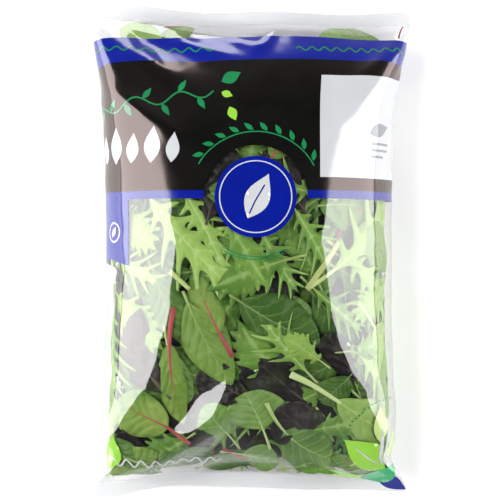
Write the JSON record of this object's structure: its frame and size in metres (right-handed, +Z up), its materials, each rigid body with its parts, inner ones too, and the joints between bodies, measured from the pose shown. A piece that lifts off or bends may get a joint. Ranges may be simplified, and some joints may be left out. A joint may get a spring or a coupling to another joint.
{
  "type": "bag of salad leaves",
  "caption": "Sealed clear film pillow bag filled with mixed baby salad leaves, with a welded seal at each end, lying flat on its back.",
  "frame": {"origin": "on the surface the bag lies on, under the middle of its footprint", "axes": "+Y towards the top of the bag, +X to the right of its printed side, +Z up out of its printed side"},
  "size_m": [0.207, 0.32, 0.064],
  "materials": {
    "clear_film": "clear glossy film over green leaves",
    "film_print": "ink printed on the inside of the film",
    "salad_leaf": "satin leaf"
  },
  "bodies": {
    "root": {"bag": "clear_film"}
  },
  "joints": []
}
